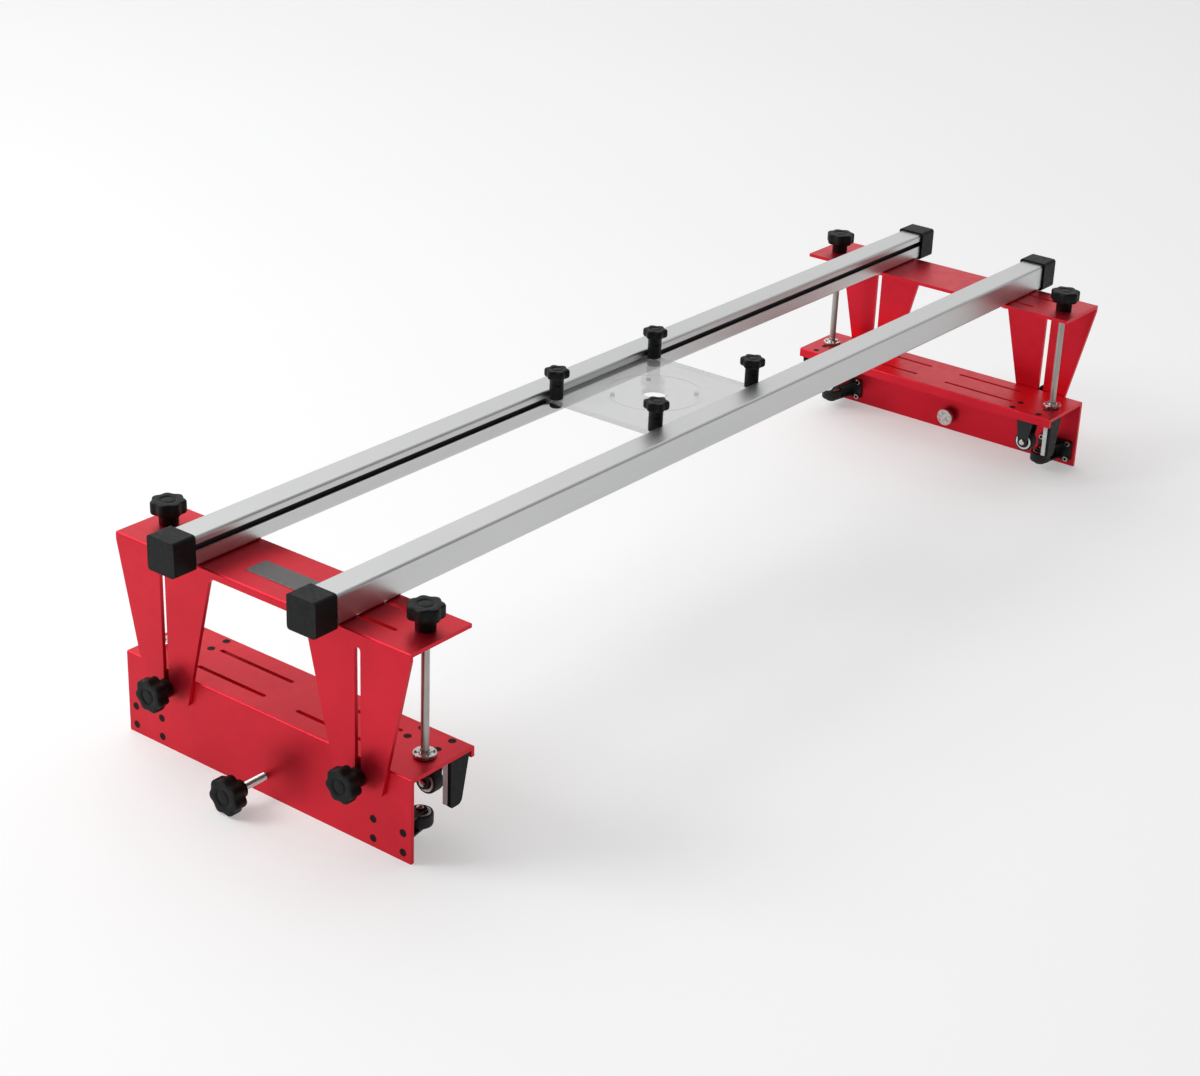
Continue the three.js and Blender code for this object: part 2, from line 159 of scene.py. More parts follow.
def red_anodised():
    """Red anodised sheet: tinted metal under a fine bead-blasted grain, slightly uneven in depth."""
    shade = Shade("red_anodised", (0.64, 0.012, 0.030), 0.38, 0.78)
    cloud = shade.noise(0.09, detail=4)
    shade.color(shade.ramp(cloud, (0.35, (0.60, 0.010, 0.026)), (0.65, (0.675, 0.014, 0.033))))
    shade.roughness(shade.span(shade.noise(0.012), 0.34, 0.42))
    shade.bump(shade.noise(0.0007, detail=3), 0.10, 0.0002)
    return shade.material


def brushed_aluminium():
    """Satin anodised extrusion with die lines along X."""
    shade = Shade("satin_aluminium", (0.62, 0.625, 0.625), 0.42, 1.0)
    lines = shade.noise(0.0007, scale=(0.004, 1, 1), detail=4, roughness=0.6)
    cloud = shade.noise(0.16, scale=(0.3, 1, 1))
    shade.color(shade.ramp(cloud, (0.3, (0.60, 0.605, 0.605)), (0.7, (0.65, 0.655, 0.65))))
    shade.roughness(shade.span(lines, 0.3, 0.42))
    shade.bump(lines, 0.10, 0.0001)
    return shade.material


def bright_steel():
    shade = Shade("bright_steel", (0.62, 0.60, 0.57), 0.24, 1.0)
    scuffs = shade.noise(0.003, detail=5)
    shade.color(shade.ramp(scuffs, (0.3, (0.54, 0.52, 0.49)), (0.7, (0.68, 0.66, 0.63))))
    shade.roughness(shade.span(scuffs, 0.2, 0.34))
    shade.bump(shade.noise(0.0005), 0.05, 0.00005)
    return shade.material


def dull_steel():
    """The drawn and rolled steel of the long screws, darker than the plated parts."""
    shade = Shade("screw_steel", (0.40, 0.38, 0.36), 0.3, 1.0)
    shade.color(shade.ramp(shade.noise(0.02), (0.3, (0.36, 0.34, 0.32)), (0.7, (0.44, 0.42, 0.40))))
    shade.roughness(shade.span(shade.noise(0.01), 0.27, 0.34))
    return shade.material


def cast_steel():
    """The pressed face of the edge lock's pad, with a shallow relief whose hollows are darkened in colour as
    painted shade.
    """
    shade = Shade("cast_steel", (0.60, 0.58, 0.55), 0.32, 1.0)
    relief = shade.noise(0.0045, detail=2)
    # Painted shade: the colour follows the relief, darker in its hollows and lighter on its crests.
    shade.color(shade.ramp(relief, (0.35, (0.40, 0.38, 0.36)), (0.6, (0.68, 0.66, 0.63))))
    shade.roughness(shade.span(relief, 0.26, 0.4))
    shade.bump(relief, 0.6, 0.0012)
    return shade.material


# Painted shade: a near-black sheet that darkens the rails' slots as their depth would.
def slot_painted_shade():
    shade = Shade("slot_painted_shade", (0.035, 0.036, 0.036), 0.7)
    shade.color(shade.ramp(shade.noise(0.03), (0.3, (0.03, 0.031, 0.031)), (0.7, (0.042, 0.043, 0.043))))
    return shade.material


def black_plastic():
    """Moulded nylon with a fine spark-eroded texture."""
    shade = Shade("black_plastic", (0.006, 0.0072, 0.007), 0.5)
    shade.shader.inputs["Specular IOR Level"].default_value = 0.16
    cloud = shade.noise(0.01)
    shade.color(shade.ramp(cloud, (0.3, (0.0045, 0.0055, 0.0052)), (0.7, (0.008, 0.0095, 0.009))))
    shade.roughness(shade.span(shade.noise(0.004), 0.42, 0.58))
    shade.bump(shade.noise(0.0004, detail=2), 0.3, 0.0001)
    return shade.material


def black_steel():
    shade = Shade("black_coated_steel", (0.008, 0.009, 0.0095), 0.34)
    shade.shader.inputs["Specular IOR Level"].default_value = 0.35
    shade.roughness(shade.span(shade.noise(0.006), 0.28, 0.44))
    shade.color(shade.ramp(shade.noise(0.02), (0.3, (0.006, 0.007, 0.0075)), (0.7, (0.011, 0.012, 0.013))))
    shade.bump(shade.noise(0.0008), 0.1, 0.0001)
    return shade.material


def screw_face():
    """The blackened face of a flush screw; its faint red tint is a painted reflection of the red sheet round
    it.
    """
    # Near-black base with a red cast: the red is a painted reflection.
    shade = Shade("screw_face", (0.016, 0.005, 0.005), 0.5)
    shade.shader.inputs["Specular IOR Level"].default_value = 0.1
    shade.color(shade.ramp(shade.noise(0.003), (0.3, (0.012, 0.004, 0.004)), (0.7, (0.024, 0.007, 0.007))))
    shade.roughness(shade.span(shade.noise(0.002), 0.42, 0.58))
    return shade.material


def tyre_rubber():
    shade = Shade("tyre_rubber", (0.012, 0.012, 0.012), 0.6)
    shade.shader.inputs["Specular IOR Level"].default_value = 0.35
    shade.color(shade.ramp(shade.noise(0.004), (0.3, (0.008, 0.008, 0.008)), (0.7, (0.016, 0.0155, 0.015))))
    shade.roughness(shade.span(shade.noise(0.002), 0.52, 0.7))
    shade.bump(shade.noise(0.0006), 0.3, 0.0001)
    return shade.material


def pale_ring():
    """The bright metal ring pressed into each side of a wheel."""
    shade = Shade("pale_ring", (0.80, 0.81, 0.80), 0.34, 0.7)
    shade.color(shade.ramp(shade.noise(0.005), (0.3, (0.72, 0.73, 0.72)), (0.7, (0.84, 0.85, 0.84))))
    shade.roughness(shade.span(shade.noise(0.003), 0.28, 0.42))
    return shade.material


def clear_acrylic():
    """Polished clear sheet, drawn as a thin grey film with faint handling marks."""
    shade = Shade("clear_acrylic", (0.44, 0.45, 0.45), 0.12)
    shade.shader.inputs["Alpha"].default_value = 0.4
    shade.shader.inputs["Coat Weight"].default_value = 1.0
    shade.shader.inputs["Coat Roughness"].default_value = 0.06
    shade.color(shade.ramp(shade.noise(0.05, detail=4), (0.3, (0.42, 0.43, 0.43)), (0.7, (0.47, 0.48, 0.48))))
    shade.roughness(shade.span(shade.noise(0.03, detail=5), 0.08, 0.2))
    return shade.material


def frosted_strip():
    """Milky flexible sheet, as on the wipers beside the wheels."""
    shade = Shade("frosted_strip", (0.60, 0.61, 0.61), 0.4)
    cloud = shade.noise(0.012)
    shade.color(shade.ramp(cloud, (0.3, (0.55, 0.56, 0.56)), (0.7, (0.66, 0.67, 0.67))))
    shade.roughness(shade.span(cloud, 0.3, 0.5))
    return shade.material


def label_print():
    """A plain dark plate with generic pale bars instead of any lettering."""
    shade = Shade("label_print", (0.12, 0.12, 0.12), 0.4)
    wave = shade.node("ShaderNodeTexWave", Scale=0.42, Distortion=0.0)
    wave.bands_direction = "X"
    shade.link(shade.coords((1000, 1000, 1000)), wave.inputs["Vector"])
    shade.color(shade.ramp(wave.outputs["Fac"], (0.55, (0.025, 0.024, 0.024)), (0.75, (0.19, 0.185, 0.18))))
    shade.roughness(shade.span(shade.noise(0.004), 0.32, 0.48))
    return shade.material


def studio_floor():
    """A pale sweep that glows a little, as an evenly lit studio table does."""
    shade = Shade("studio_floor", (0.66, 0.665, 0.665), 0.8)
    shade.color(shade.ramp(shade.noise(0.8), (0.3, (0.655, 0.66, 0.66)), (0.7, (0.665, 0.67, 0.67))))
    shade.shader.inputs["Emission Color"].default_value = (1.0, 1.0, 1.0, 1.0)
    shade.shader.inputs["Emission Strength"].default_value = 0.37
    return shade.material


RED = red_anodised()
ALUMINIUM = brushed_aluminium()
STEEL = bright_steel()
SCREW_STEEL = dull_steel()
CAST_STEEL = cast_steel()
SLOT_PAINTED_SHADE = slot_painted_shade()
PLASTIC = black_plastic()
BLACK_STEEL = black_steel()
SCREW_FACE = screw_face()
TYRE = tyre_rubber()
RING = pale_ring()
ACRYLIC = clear_acrylic()
FROSTED = frosted_strip()
LABEL = label_print()


# ---- mesh helpers ---------------------------------------------------------


def surface(rings, closed=False):
    """Skins a list of rings of points. Open ends are filled; closed joins last to first."""
    mesh = bmesh.new()
    loops = [[mesh.verts.new(point) for point in ring] for ring in rings]
    count = len(loops[0])
    pairs = list(zip(loops, loops[1:]))
    if closed:
        pairs.append((loops[-1], loops[0]))
    for below, above in pairs:
        for i in range(count):
            j = (i + 1) % count
            mesh.faces.new((below[i], below[j], above[j], above[i]))
    if not closed:
        mesh.faces.new(list(reversed(loops[0])))
        mesh.faces.new(loops[-1])
    bmesh.ops.recalc_face_normals(mesh, faces=mesh.faces)
    return mesh


def ring(radius, z, count=48):
    """A ring about Z in millimetres; radius is a number or a function of the angle."""
    points = []
    for i in range(count):
        angle = TAU * i / count
        r = radius(angle) if callable(radius) else radius
        points.append(Vector((r * math.cos(angle), r * math.sin(angle), z)) * MM)
    return points


def turned(profile, count=48, closed=False):
    """A lathe mesh about Z from (radius, z) pairs in millimetres."""
    return surface([ring(r, z, count) for r, z in profile], closed)


def star(radius, lobes, depth, inset=0.0):
    """A star outline: the radius at each angle."""
    return lambda angle: radius - inset - depth * (1 - math.cos(lobes * angle)) / 2


def hexagon(flat):
    """A hexagon outline whose flats are flat millimetres apart."""
    step = TAU / 6
    return lambda angle: flat / 2 / math.cos((angle + step / 2) % step - step / 2)


def joined(*meshes):
    """One bmesh of several."""
    total = bmesh.new()
    for part in meshes:
        data = bpy.data.meshes.new("joining")
        part.to_mesh(data)
        total.from_mesh(data)
        bpy.data.meshes.remove(data)
        part.free()
    return total


def moved(mesh, matrix):
    bmesh.ops.transform(mesh, matrix=matrix, verts=mesh.verts)
    return mesh


def mesh_data(name, mesh, material, sharp=35):
    data = bpy.data.meshes.new(name)
    mesh.to_mesh(data)
    mesh.free()
    data.materials.append(material)
    data.shade_smooth()
    data.set_sharp_from_angle(angle=math.radians(sharp))
    return data


def piece(name, data, body, matrix=None, replaces=()):
    made = bpy.data.objects.new(name, data)
    bpy.context.scene.collection.objects.link(made)
    if matrix is not None:
        made.matrix_world = matrix
    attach(made, body)
    if replaces:
        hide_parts(*replaces)
    return made


def bevel(made, width, segments=2, angle=35):
    modifier = made.modifiers.new("edge", "BEVEL")
    modifier.width = width * MM
    modifier.segments = segments
    modifier.limit_method = "ANGLE"
    modifier.angle_limit = math.radians(angle)
    modifier.harden_normals = True
    return modifier


def centre(node):
    low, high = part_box(node)
    return (low + high) / 2


def at(x, y, z, turn=None):
    place = Matrix.Translation((x, y, z))
    return place @ turn if turn else place


def facing(sign):
    """Turns local +Z to world +X or -X."""
    return Matrix.Rotation(sign * TAU / 4, 4, "Y")


# ---- CAD nodes that keep their own mesh -----------------------------------


def finish_node(name, material, width, segments=2):
    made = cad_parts[name]
    made.data.materials.clear()
    made.data.materials.append(material)
    made.data.shade_smooth()
    made.data.set_sharp_from_angle(angle=math.radians(35))
    bevel(made, width, segments)


def finish_nodes():
    for end in ENDS:
        finish_node(f"{end}_carriage", RED, 0.3)
        finish_node(f"{end}_saddle", RED, 0.3)
        finish_node(f"{end}_lock_pad", CAST_STEEL, 0.4)
    for end, place in CORNERS:
        finish_node(f"rail_cap_{end}_{place}", PLASTIC, 1.2, 3)
        finish_node(f"{end}_top_caster_{place}", BLACK_STEEL, 0.3)
        finish_node(f"{end}_side_caster_{place}", BLACK_STEEL, 0.3)
        finish_node(f"{end}_end_guard_{place}", PLASTIC, 0.5)
    for place in PLACES:
        finish_node(f"rail_{place}", ALUMINIUM, 0.2)
    finish_node("router_plate", ACRYLIC, 0.4)


# ---- star knobs -----------------------------------------------------------


def star_knob_mesh(radius, lobes, depth, head, hub_radius, hub):
    """A moulded star knob standing on z = 0: hub, flared underside, crowned head."""
    count = lobes * 16
    top = hub + head

    def edge(inset):
        return star(radius, lobes, depth, inset)

    def mid(share):
        return star(radius * share, lobes, depth * share * 0.6)

    sections = [
        (hub_radius - 0.8, 0.0),
        (hub_radius - 0.2, 0.3),
        (hub_radius, 1.0),
        (hub_radius, hub - 2.0),
        (hub_radius + 0.6, hub - 0.8),
        (mid(0.72), hub + 0.2),
        (edge(2.0), hub + 0.8),
        (edge(0.7), hub + 1.5),
        (edge(0.0), hub + 3.0),
        (edge(0.0), top - 2.2),
        (edge(0.2), top - 1.3),
        (edge(0.7), top - 0.55),
        (edge(1.4), top - 0.15),
        (edge(2.4), top),
        (mid(0.60), top - 0.05),
        (radius * 0.47, top - 0.3),
        (radius * 0.44, top - 1.0),
        (radius * 0.40, top - 1.1),
        (radius * 0.37, top - 0.6),
        (radius * 0.20, top - 0.4),
        (radius * 0.02, top - 0.35),
    ]
    return surface([ring(r, z, count) for r, z in sections])


def thread_mesh(radius, depth, pitch, low, high, starts=1):
    """A screw thread about Z, from low to high in millimetres."""
    count = 24
    steps = max(2, round((high - low) / pitch * 5))
    rings = [ring(radius - depth - 0.3, low, count)]
    for i in range(steps + 1):
        z = low + (high - low) * i / steps
        edge = min(1.0, (z - low) / pitch, (high - z) / pitch)

        def crest(angle, z=z, edge=edge):
            phase = (z / pitch - starts * angle / TAU) % 1.0
            return radius - depth + depth * edge * max(0.0, 1 - abs(phase - 0.5) * 2.4)

        rings.append(ring(crest, z, count))
    rings.append(ring(radius - depth - 0.3, high, count))
    return surface(rings)


STAR_DATA = mesh_data("star_knob", star_knob_mesh(**STAR), PLASTIC, 50)
BIG_STAR_DATA = mesh_data("big_star_knob", star_knob_mesh(**BIG_STAR), PLASTIC, 50)
SMALL_STAR_DATA = mesh_data("small_star_knob", star_knob_mesh(**SMALL_STAR), PLASTIC, 50)


# ---- height screws and nuts ----------------------------------------------


def height_screw_mesh(low, top):
    collar = SADDLE_UNDER - GAP
    shaft = thread_mesh(4.0, depth=0.28, pitch=2.0, low=low, high=collar - 6.2, starts=4)
    plain = turned([(3.2, collar - 6.4), (6.6, collar - 6.4), (7.0, collar - 6.0), (7.0, collar - 0.4),
                    (6.6, collar), (4.0, collar), (4.0, top)])
    return joined(shaft, plain)


def flange_nut_mesh():
    """Standing on the deck at z = 0, with its body hanging through the hole."""
    profile = [(4.3, -9.6), (4.7, -10), (4.8, -10), (5.1, -9.6), (5.1, 0), (10.6, 0), (11, 0.4), (11, 3.0),
               (10.6, 3.5), (6.6, 3.5), (6.1, 3.9), (6.1, 5.0), (5.6, 5.5), (4.7, 5.5), (4.3, 5.1)]
    return turned(profile, 56, closed=True)


def socket_screw_mesh(head_radius, height, key):
    """A button-head socket screw standing on z = 0."""
    dome = [(head_radius, 0.0), (head_radius, height * 0.25), (head_radius * 0.93, height * 0.6),
            (head_radius * 0.75, height * 0.88), (head_radius * 0.55, height)]
    rings = [ring(r, z, 36) for r, z in dome]
    socket = hexagon(key)
    rings += [ring(socket, height, 36), ring(socket, height * 0.45, 36), ring(0.05, height * 0.4, 36)]
    return surface(rings)


def flush_screw_mesh(radius, proud, key):
    """The face of a countersunk socket screw, standing barely proud of z = 0."""
    socket = hexagon(key)
    return surface([ring(radius, 0, 36), ring(radius, proud * 0.5, 36), ring(radius - 0.15, proud, 36),
                    ring(socket, proud, 36), ring(socket, proud * 0.2, 36), ring(0.05, proud * 0.2, 36)])


def build_height_screws():
    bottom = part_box("near_height_screw_front")[0].z / MM
    screw_data = mesh_data("height_screw", height_screw_mesh(bottom, ROD_TOP), SCREW_STEEL, 60)
    nut_data = mesh_data("flange_nut", flange_nut_mesh(), STEEL)
    small = []
    for eighth in (1, 3, 5, 7):
        angle = TAU * eighth / 8
        out = NUT_SCREW_CIRCLE * MM
        spot = at(out * math.cos(angle), out * math.sin(angle), NUT_FLANGE * MM)
        small.append(moved(socket_screw_mesh(head_radius=1.6, height=1.2, key=1.6), spot))
    small_data = mesh_data("nut_screws", joined(*small), STEEL)
    for end, place in CORNERS:
        screw = f"{end}_height_screw_{place}"
        knob = f"{end}_height_knob_{place}"
        nut = f"{end}_screw_nut_{place}"
        axis = centre(screw)
        body = f"{end}_screw_{place}"
        floor = at(axis.x, axis.y, 0)
        piece(f"threaded_rod_{end}_{place}", screw_data, body, floor, [screw])
        base = at(axis.x, axis.y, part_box(knob)[0].z)
        piece(f"height_star_{end}_{place}", STAR_DATA, body, base, [knob])
        deck = at(axis.x, axis.y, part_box(f"{end}_carriage")[1].z + GAP * MM)
        piece(f"flange_nut_{end}_{place}", nut_data, f"{end}_end", deck, [nut])
        piece(f"nut_screws_{end}_{place}", small_data, f"{end}_end", deck)


# ---- leg locks and edge locks --------------------------------------------


def build_leg_locks():
    thread = thread_mesh(3.0, depth=0.35, pitch=1.0, low=-16, high=1.5)
    stud = mesh_data("leg_stud", thread, STEEL)
    for end, place in CORNERS:
        node = f"{end}_leg_lock_{place}"
        sign = ENDS[end]
        low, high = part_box(node)
        outer = (high if sign > 0 else low).x
        base = outer - sign * (STAR["hub"] + STAR["head"]) * MM
        spot = at(base, PLACES[place] * LEG_LOCK_Y, LEG_LOCK_Z, facing(sign))
        body = f"{end}_leg_knob_{place}"
        piece(f"leg_star_{end}_{place}", STAR_DATA, body, spot, [node])
        piece(f"leg_stud_{end}_{place}", stud, body, spot)


def build_edge_locks():
    low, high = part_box("far_edge_lock")
    reach = (high.x - low.x) / MM - BIG_STAR["hub"] - BIG_STAR["head"]
    thread = thread_mesh(4.0, depth=0.5, pitch=1.25, low=-reach, high=1.5)
    shaft = mesh_data("edge_screw", thread, STEEL)
    collar = mesh_data("edge_nut", hex_nut_mesh(flat=13.0, height=6.5, bore=4.3), STEEL)
    for end, sign in ENDS.items():
        node = f"{end}_edge_lock"
        low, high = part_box(node)
        base = (high if sign > 0 else low).x - sign * (BIG_STAR["hub"] + BIG_STAR["head"]) * MM
        axis = centre(f"{end}_lock_pad")
        spot = at(base, axis.y, axis.z, facing(sign))
        body = f"{end}_lock_screw"
        piece(f"edge_star_{end}", BIG_STAR_DATA, body, spot, [node])
        piece(f"edge_screw_{end}", shaft, body, spot)
        back = at(sign * SKIRT_BACK, axis.y, axis.z, facing(-sign))
        piece(f"weld_nut_{end}", collar, f"{end}_end", back)


def hex_nut_mesh(flat, height, bore):
    """A hex nut standing on z = 0 with chamfered corners."""
    outline = hexagon(flat)

    def rounded(inset):
        return lambda angle: min(outline(angle), flat / 2 * 1.10 - inset)

    rings = [ring(bore, 0, 48), ring(rounded(0.7), 0, 48), ring(rounded(0.0), 0.6, 48),
             ring(rounded(0.0), height - 0.6, 48), ring(rounded(0.7), height, 48), ring(bore, height, 48)]
    return surface(rings, closed=True)


# ---- casters --------------------------------------------------------------


def tyre_mesh(radius, half):
    """A solid black wheel about Z: bored, with a dished web, a ring seat and a crowned tread."""
    side = [(2.85, half - 0.2), (4.6, half - 0.2), (5.0, half - 0.6), (5.3, half - 2.0), (7.2, half - 2.0),
            (7.4, half - 0.9), (10.1, half - 0.9), (10.3, half - 0.3), (radius - 1.2, half - 0.1),
            (radius - 0.5, half - 0.6), (radius - 0.1, half - 1.7), (radius, half - 3.4)]
    profile = side + [(r, -z) for r, z in reversed(side)]
    return turned(profile, 56, closed=True)


def wheel_rings_mesh(half):
    """A thin bright ring in each side of the wheel."""
    section = [(7.5, half - 0.85), (7.5, half - 0.2), (7.8, half + 0.05), (9.6, half + 0.05),
               (10.0, half - 0.2), (10.0, half - 0.85)]
    other = [(r, -z) for r, z in reversed(section)]
    return joined(turned(section, 56, closed=True), turned(other, 56, closed=True))


def rivet_mesh():
    """The low peened head on the end of an axle."""
    return turned([(3.4, -0.2), (3.4, 0.2), (3.0, 0.55), (2.0, 0.78), (0.9, 0.86), (0.05, 0.88)], 32)


def build_casters():
    low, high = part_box("far_side_wheel_front")
    radius = (high.x - low.x) / 2 / MM
    half = (high.z - low.z) / 2 / MM
    tyre = mesh_data("caster_tyre", tyre_mesh(radius, half), TYRE, 50)
    rings = mesh_data("caster_rings", wheel_rings_mesh(half), RING)
    rivet = mesh_data("axle_rivet", rivet_mesh(), STEEL)
    face = flush_screw_mesh(radius=3.9, proud=0.22, key=2.5)
    screw = mesh_data("caster_screw", face, SCREW_FACE)
    nut = mesh_data("caster_nut", hex_nut_mesh(flat=6.4, height=3.2, bore=2.05), STEEL)
    for end, place in CORNERS:
        sign = ENDS[end]
        for kind, axle in (("top", "X"), ("side", "Z")):
            tag = f"{kind}_{end}_{place}"
            wheel = f"{end}_{kind}_wheel_{place}"
            spot = centre(wheel)
            turn = facing(1) if axle == "X" else Matrix.Identity(4)
            body = f"{end}_{kind}_roller_{place}"
            piece(f"tyre_{tag}", tyre, body, at(*spot, turn), [wheel])
            piece(f"rings_{tag}", rings, body, at(*spot, turn))
            for way in (-1, 1):
                out = facing(way) if axle == "X" else Matrix.Rotation(TAU / 4 * (1 - way), 4, "X")
                tip = spot + turn.to_3x3() @ Vector((0, 0, way * (half + AXLE_PROUD) * MM))
                name = f"rivet_{tag}_{'ab'[way > 0]}"
                piece(name, rivet, f"{end}_end", at(*tip, out))
            place_caster_screws(tag, f"{end}_{kind}_caster_{place}", kind, sign, f"{end}_end", screw, nut)


def place_caster_screws(tag, node, kind, sign, body, screw, nut):
    """Four flush heads on the bracket's outer face and four nuts on the caster's plate."""
    low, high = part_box(node)
    mid = (low + high) / 2
    for i, (along, across) in enumerate(CASTER_SCREW_SPOTS):
        y = mid.y + along * MM
        if kind == "top":
            x = mid.x + across * MM
            head = at(x, y, DECK_TOP)
            tail = at(x, y, high.z - CASTER_BASE, Matrix.Rotation(TAU / 2, 4, "X"))
        else:
            z = mid.z + across * MM
            inner = sign * (SKIRT_BACK - GAP * MM) - sign * CASTER_BASE
            head = at(sign * SKIRT_FACE, y, z, facing(sign))
            tail = at(inner, y, z, facing(-sign))
        piece(f"screw_{tag}_{i}", screw, body, head)
        piece(f"nut_{tag}_{i}", nut, body, tail)


# ---- router plate clamps --------------------------------------------------


def clamp_mesh(low, under, over, top):
    """A knurled column over the plate and a foot under it, joined by a neck."""

    def grip(angle):
        return 7.5 - 0.25 * (1 - math.cos(24 * angle)) / 2

    sections = [(6.2, low), (6.8, low + 0.5), (7.0, low + 1.0), (7.0, under - 0.4), (6.7, under),
                (3.0, under), (3.0, over), (7.0, over), (7.5, over + 0.5), (7.5, over + 3.0),
                (grip, over + 3.6), (grip, top - 3.6), (7.5, top - 3.0), (7.5, top - 0.5), (7.0, top)]
    return surface([ring(r, z, 96) for r, z in sections])


def build_clamps():
    plate_low, plate_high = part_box("router_plate")
    under = plate_low.z / MM - GAP
    over = plate_high.z / MM + GAP
    low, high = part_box("plate_clamp_near_front")
    data = mesh_data("clamp_column", clamp_mesh(low.z / MM, under, over, high.z / MM), PLASTIC)
    for end, place in CORNERS:
        node = f"plate_clamp_{end}_{place}"
        knob = f"clamp_knob_{end}_{place}"
        axis = centre(node)
        floor = at(axis.x, axis.y, 0)
        piece(f"clamp_column_{end}_{place}", data, "router_slide", floor, [node])
        base = at(axis.x, axis.y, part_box(knob)[0].z)
        body = f"clamp_{end}_{place}"
        piece(f"clamp_star_{end}_{place}", SMALL_STAR_DATA, body, base, [knob])


# ---- small trim -----------------------------------------------------------


def slab(width, depth, thickness, corner, edge):
    """A thin rounded plate lying on z = 0, with eased top edges, in millimetres."""
    outline = []
    for quarter, (sx, sy) in enumerate([(1, 1), (-1, 1), (-1, -1), (1, -1)]):
        for step in range(7):
            angle = TAU / 4 * (quarter + step / 6)
            outline.append((sx * (width / 2 - corner), sy * (depth / 2 - corner), angle))

    def loop(inset, z):
        r = corner - inset
        return [Vector((x + r * math.cos(a), y + r * math.sin(a), z)) * MM for x, y, a in outline]

    return surface([loop(0, 0), loop(0, thickness - edge), loop(edge, thickness)])


def slot_shade_strip_mesh(length):
    """A black U-section strip on the floor of a rail's slot, opening to +Y, in millimetres: painted shade for
    the dark depth of the slot.
    """
    section = [(0.05, -5.2), (3.8, -5.2), (3.8, -4.6), (0.6, -4.6), (0.6, 4.6), (3.8, 4.6),
               (3.8, 5.2), (0.05, 5.2)]
    return surface([[Vector((x, y, z)) * MM for y, z in section] for x in (-length, length)])


# Lays the near-black strip of painted shade in the slot of each rail.
def build_slot_shade_strips():
    low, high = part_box("rail_rear")
    shade_strip = mesh_data("slot_shade_strip", slot_shade_strip_mesh(high.x / MM - 0.5), SLOT_PAINTED_SHADE)
    level = centre("router_plate").z
    for place, side in PLACES.items():
        low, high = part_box(f"rail_{place}")
        face = low.y if side > 0 else high.y
        turn = Matrix.Rotation(TAU / 2, 4, "Z") if side > 0 else None
        piece(f"slot_shade_strip_{place}", shade_strip, "sled_frame",
              at(0, face + side * RAIL_SLOT_DEPTH, level, turn))


def build_guard_plates():
    """A pale wiper strip on the flank of each end guard: front guards face -X, rear ones +X."""
    low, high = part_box("far_end_guard_rear")
    tall = (high.z - low.z) / MM - GUARD_STRIP["shorter"]
    strip = slab(GUARD_STRIP["width"], tall, thickness=0.4, corner=0.8, edge=0.12)
    plate = mesh_data("guard_plate", strip, FROSTED)
    for end, place in CORNERS:
        side = PLACES[place]
        low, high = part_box(f"{end}_end_guard_{place}")
        flank = high.x if side > 0 else low.x
        y = side * (max(abs(low.y), abs(high.y)) - GUARD_STRIP["inset"] * MM)
        upright = facing(side) @ Matrix.Rotation(TAU / 4, 4, "Z")
        z = (low.z + high.z) / 2 + GUARD_STRIP["lift"] * MM
        piece(f"guard_plate_{end}_{place}", plate, f"{end}_end", at(flank, y, z, upright))


def build_trim():
    """The label on the near saddle and the bolts that hold the rails from below."""
    low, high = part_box("near_saddle")
    saddle_top = high.z
    label = mesh_data("maker_plate", slab(26, 74, thickness=0.8, corner=2.5, edge=0.3), LABEL)
    spot = at((low.x + high.x) / 2 - LABEL_OUTWARD, 0, saddle_top)
    piece("deck_label", label, "sled_frame", spot)
    washer = turned([(3.2, 0), (6.6, 0), (7.0, 0.3), (7.0, 1.1), (6.6, 1.4), (3.2, 1.4)], closed=True)
    head = moved(hex_nut_mesh(flat=10, height=5.0, bore=0.4), at(0, 0, 1.4 * MM))
    bolt = mesh_data("rail_bolt", joined(washer, head), STEEL)
    down = Matrix.Rotation(TAU / 2, 4, "X")
    for end, place in CORNERS:
        sign, side = ENDS[end], PLACES[place]
        rail_y = centre(f"rail_{place}").y
        under = saddle_top - SHEET * MM
        for row, x in enumerate(SADDLE_BOLT_ROWS):
            piece(f"rail_bolt_{end}_{place}_{row}", bolt, "sled_frame",
                  at(sign * x, rail_y + side * SADDLE_BOLT_OUTWARD, under, down))


# ---- studio ---------------------------------------------------------------

FLOOR_SIZE = 40
BACKDROP_SIDE = (0.75, 0.66, 0.0)
BACKDROP_EDGES = (-0.25, 0.85)
WORLD_DIM = 0.12
WORLD_BRIGHT = 0.9
OVERHEAD_POWER = 150
KEY_POWER = 47
CAMERA_PLACE = Vector((-1.957, -1.398, 1.155))
CAMERA_FORWARD = Vector((0.7228, 0.5502, -0.4181))
CAMERA_ROLL = math.radians(2.3)
CAMERA_LENS = 71.8


def build_floor():
    mesh = bmesh.new()
    bmesh.ops.create_grid(mesh, x_segments=2, y_segments=2, size=FLOOR_SIZE)
    floor = bpy.data.objects.new("studio_floor", mesh_data("studio_floor", mesh, studio_floor()))
    bpy.context.scene.collection.objects.link(floor)


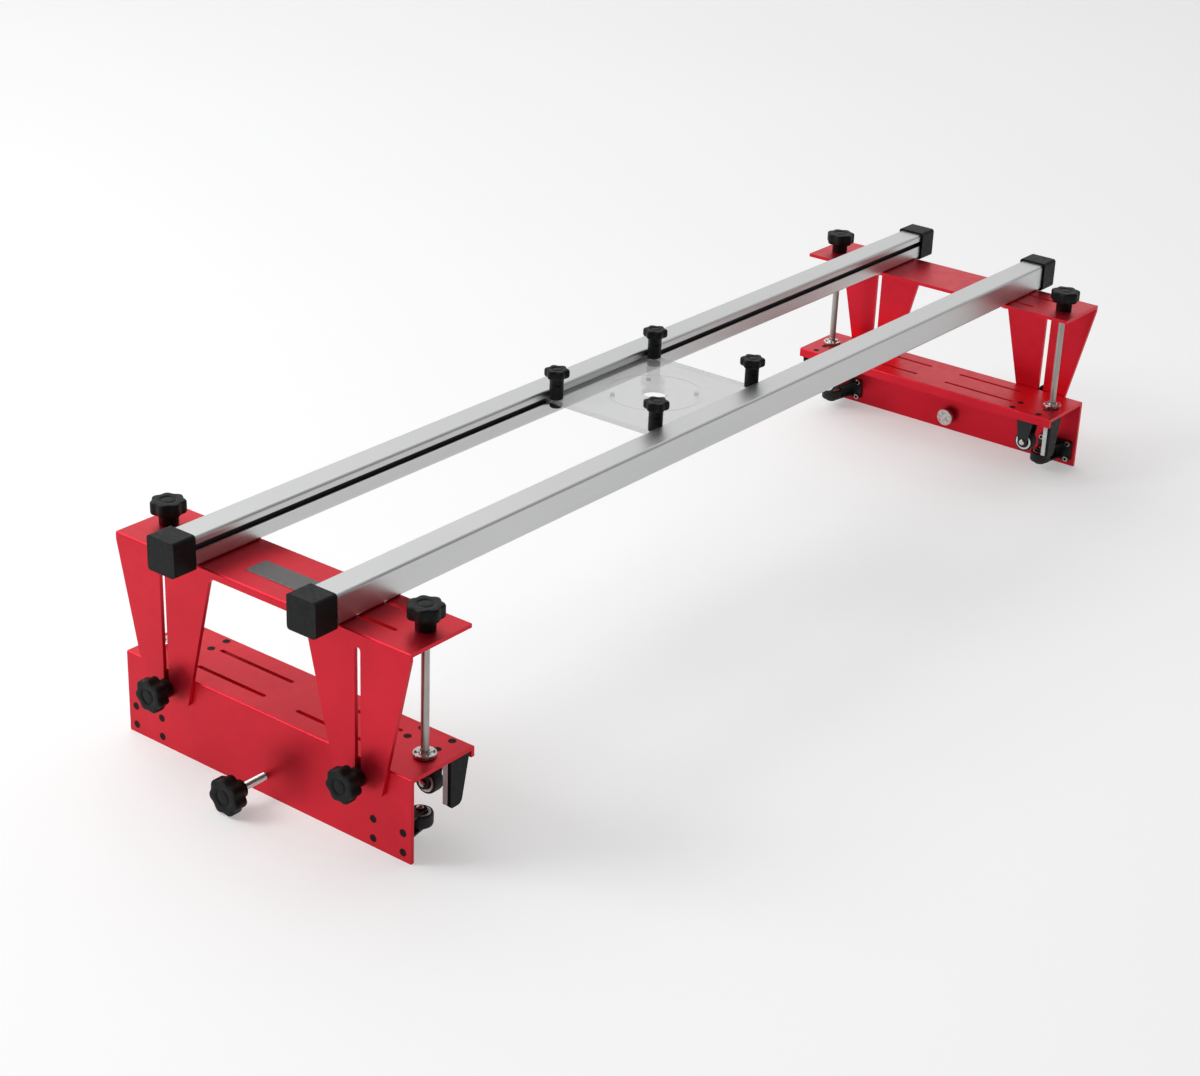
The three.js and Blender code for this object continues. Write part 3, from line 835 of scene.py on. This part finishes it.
def area_light(name, place, target, size, power):
    data = bpy.data.lights.new(name, "AREA")
    data.shape = "RECTANGLE"
    data.size, data.size_y = size
    data.energy = power
    lamp = bpy.data.objects.new(name, data)
    lamp.location = place
    lamp.rotation_euler = (Vector(target) - Vector(place)).to_track_quat("-Z", "Y").to_euler()
    bpy.context.scene.collection.objects.link(lamp)


def build_world():
    """A studio that is bright behind the sled, towards +X and +Y, and dim on the other side."""
    world = bpy.data.worlds.new("pale_studio")
    world.use_nodes = True
    nodes, links = world.node_tree.nodes, world.node_tree.links
    where = nodes.new("ShaderNodeTexCoord")
    towards = nodes.new("ShaderNodeVectorMath")
    towards.operation = "DOT_PRODUCT"
    towards.inputs[1].default_value = BACKDROP_SIDE
    level = nodes.new("ShaderNodeMapRange")
    level.interpolation_type = "SMOOTHSTEP"
    level.inputs["From Min"].default_value = BACKDROP_EDGES[0]
    level.inputs["From Max"].default_value = BACKDROP_EDGES[1]
    level.inputs["To Min"].default_value = WORLD_DIM
    level.inputs["To Max"].default_value = WORLD_BRIGHT
    links.new(where.outputs["Generated"], towards.inputs[0])
    links.new(towards.outputs["Value"], level.inputs["Value"])
    links.new(level.outputs["Result"], nodes["Background"].inputs["Strength"])
    nodes["Background"].inputs["Color"].default_value = (1.0, 1.0, 1.0, 1.0)
    bpy.context.scene.world = world


def build_lights():
    area_light("overhead", (-0.6, 3.2, 4.5), (0.4, 0.6, 0), (8, 6), OVERHEAD_POWER)
    area_light("key", (-2.1, 2.1, 2.2), (-0.3, 0, 0.1), (1.4, 1.4), KEY_POWER)
    bpy.context.scene.view_settings.view_transform = "Standard"


def build_camera():
    """A camera beyond the near front corner, looking down across the sled."""
    data = bpy.data.cameras.new("camera")
    data.lens = CAMERA_LENS
    data.sensor_width = 36.0
    camera = bpy.data.objects.new("camera", data)
    aim = CAMERA_FORWARD.to_track_quat("-Z", "Y").to_matrix().to_4x4()
    roll = Matrix.Rotation(CAMERA_ROLL, 4, "Z")
    camera.matrix_world = Matrix.Translation(CAMERA_PLACE) @ aim @ roll
    bpy.context.scene.collection.objects.link(camera)
    bpy.context.scene.camera = camera


build_camera()
build_world()
build_lights()
build_floor()
finish_nodes()
build_height_screws()
build_leg_locks()
build_edge_locks()
build_casters()
build_clamps()
build_slot_shade_strips()
build_guard_plates()
build_trim()
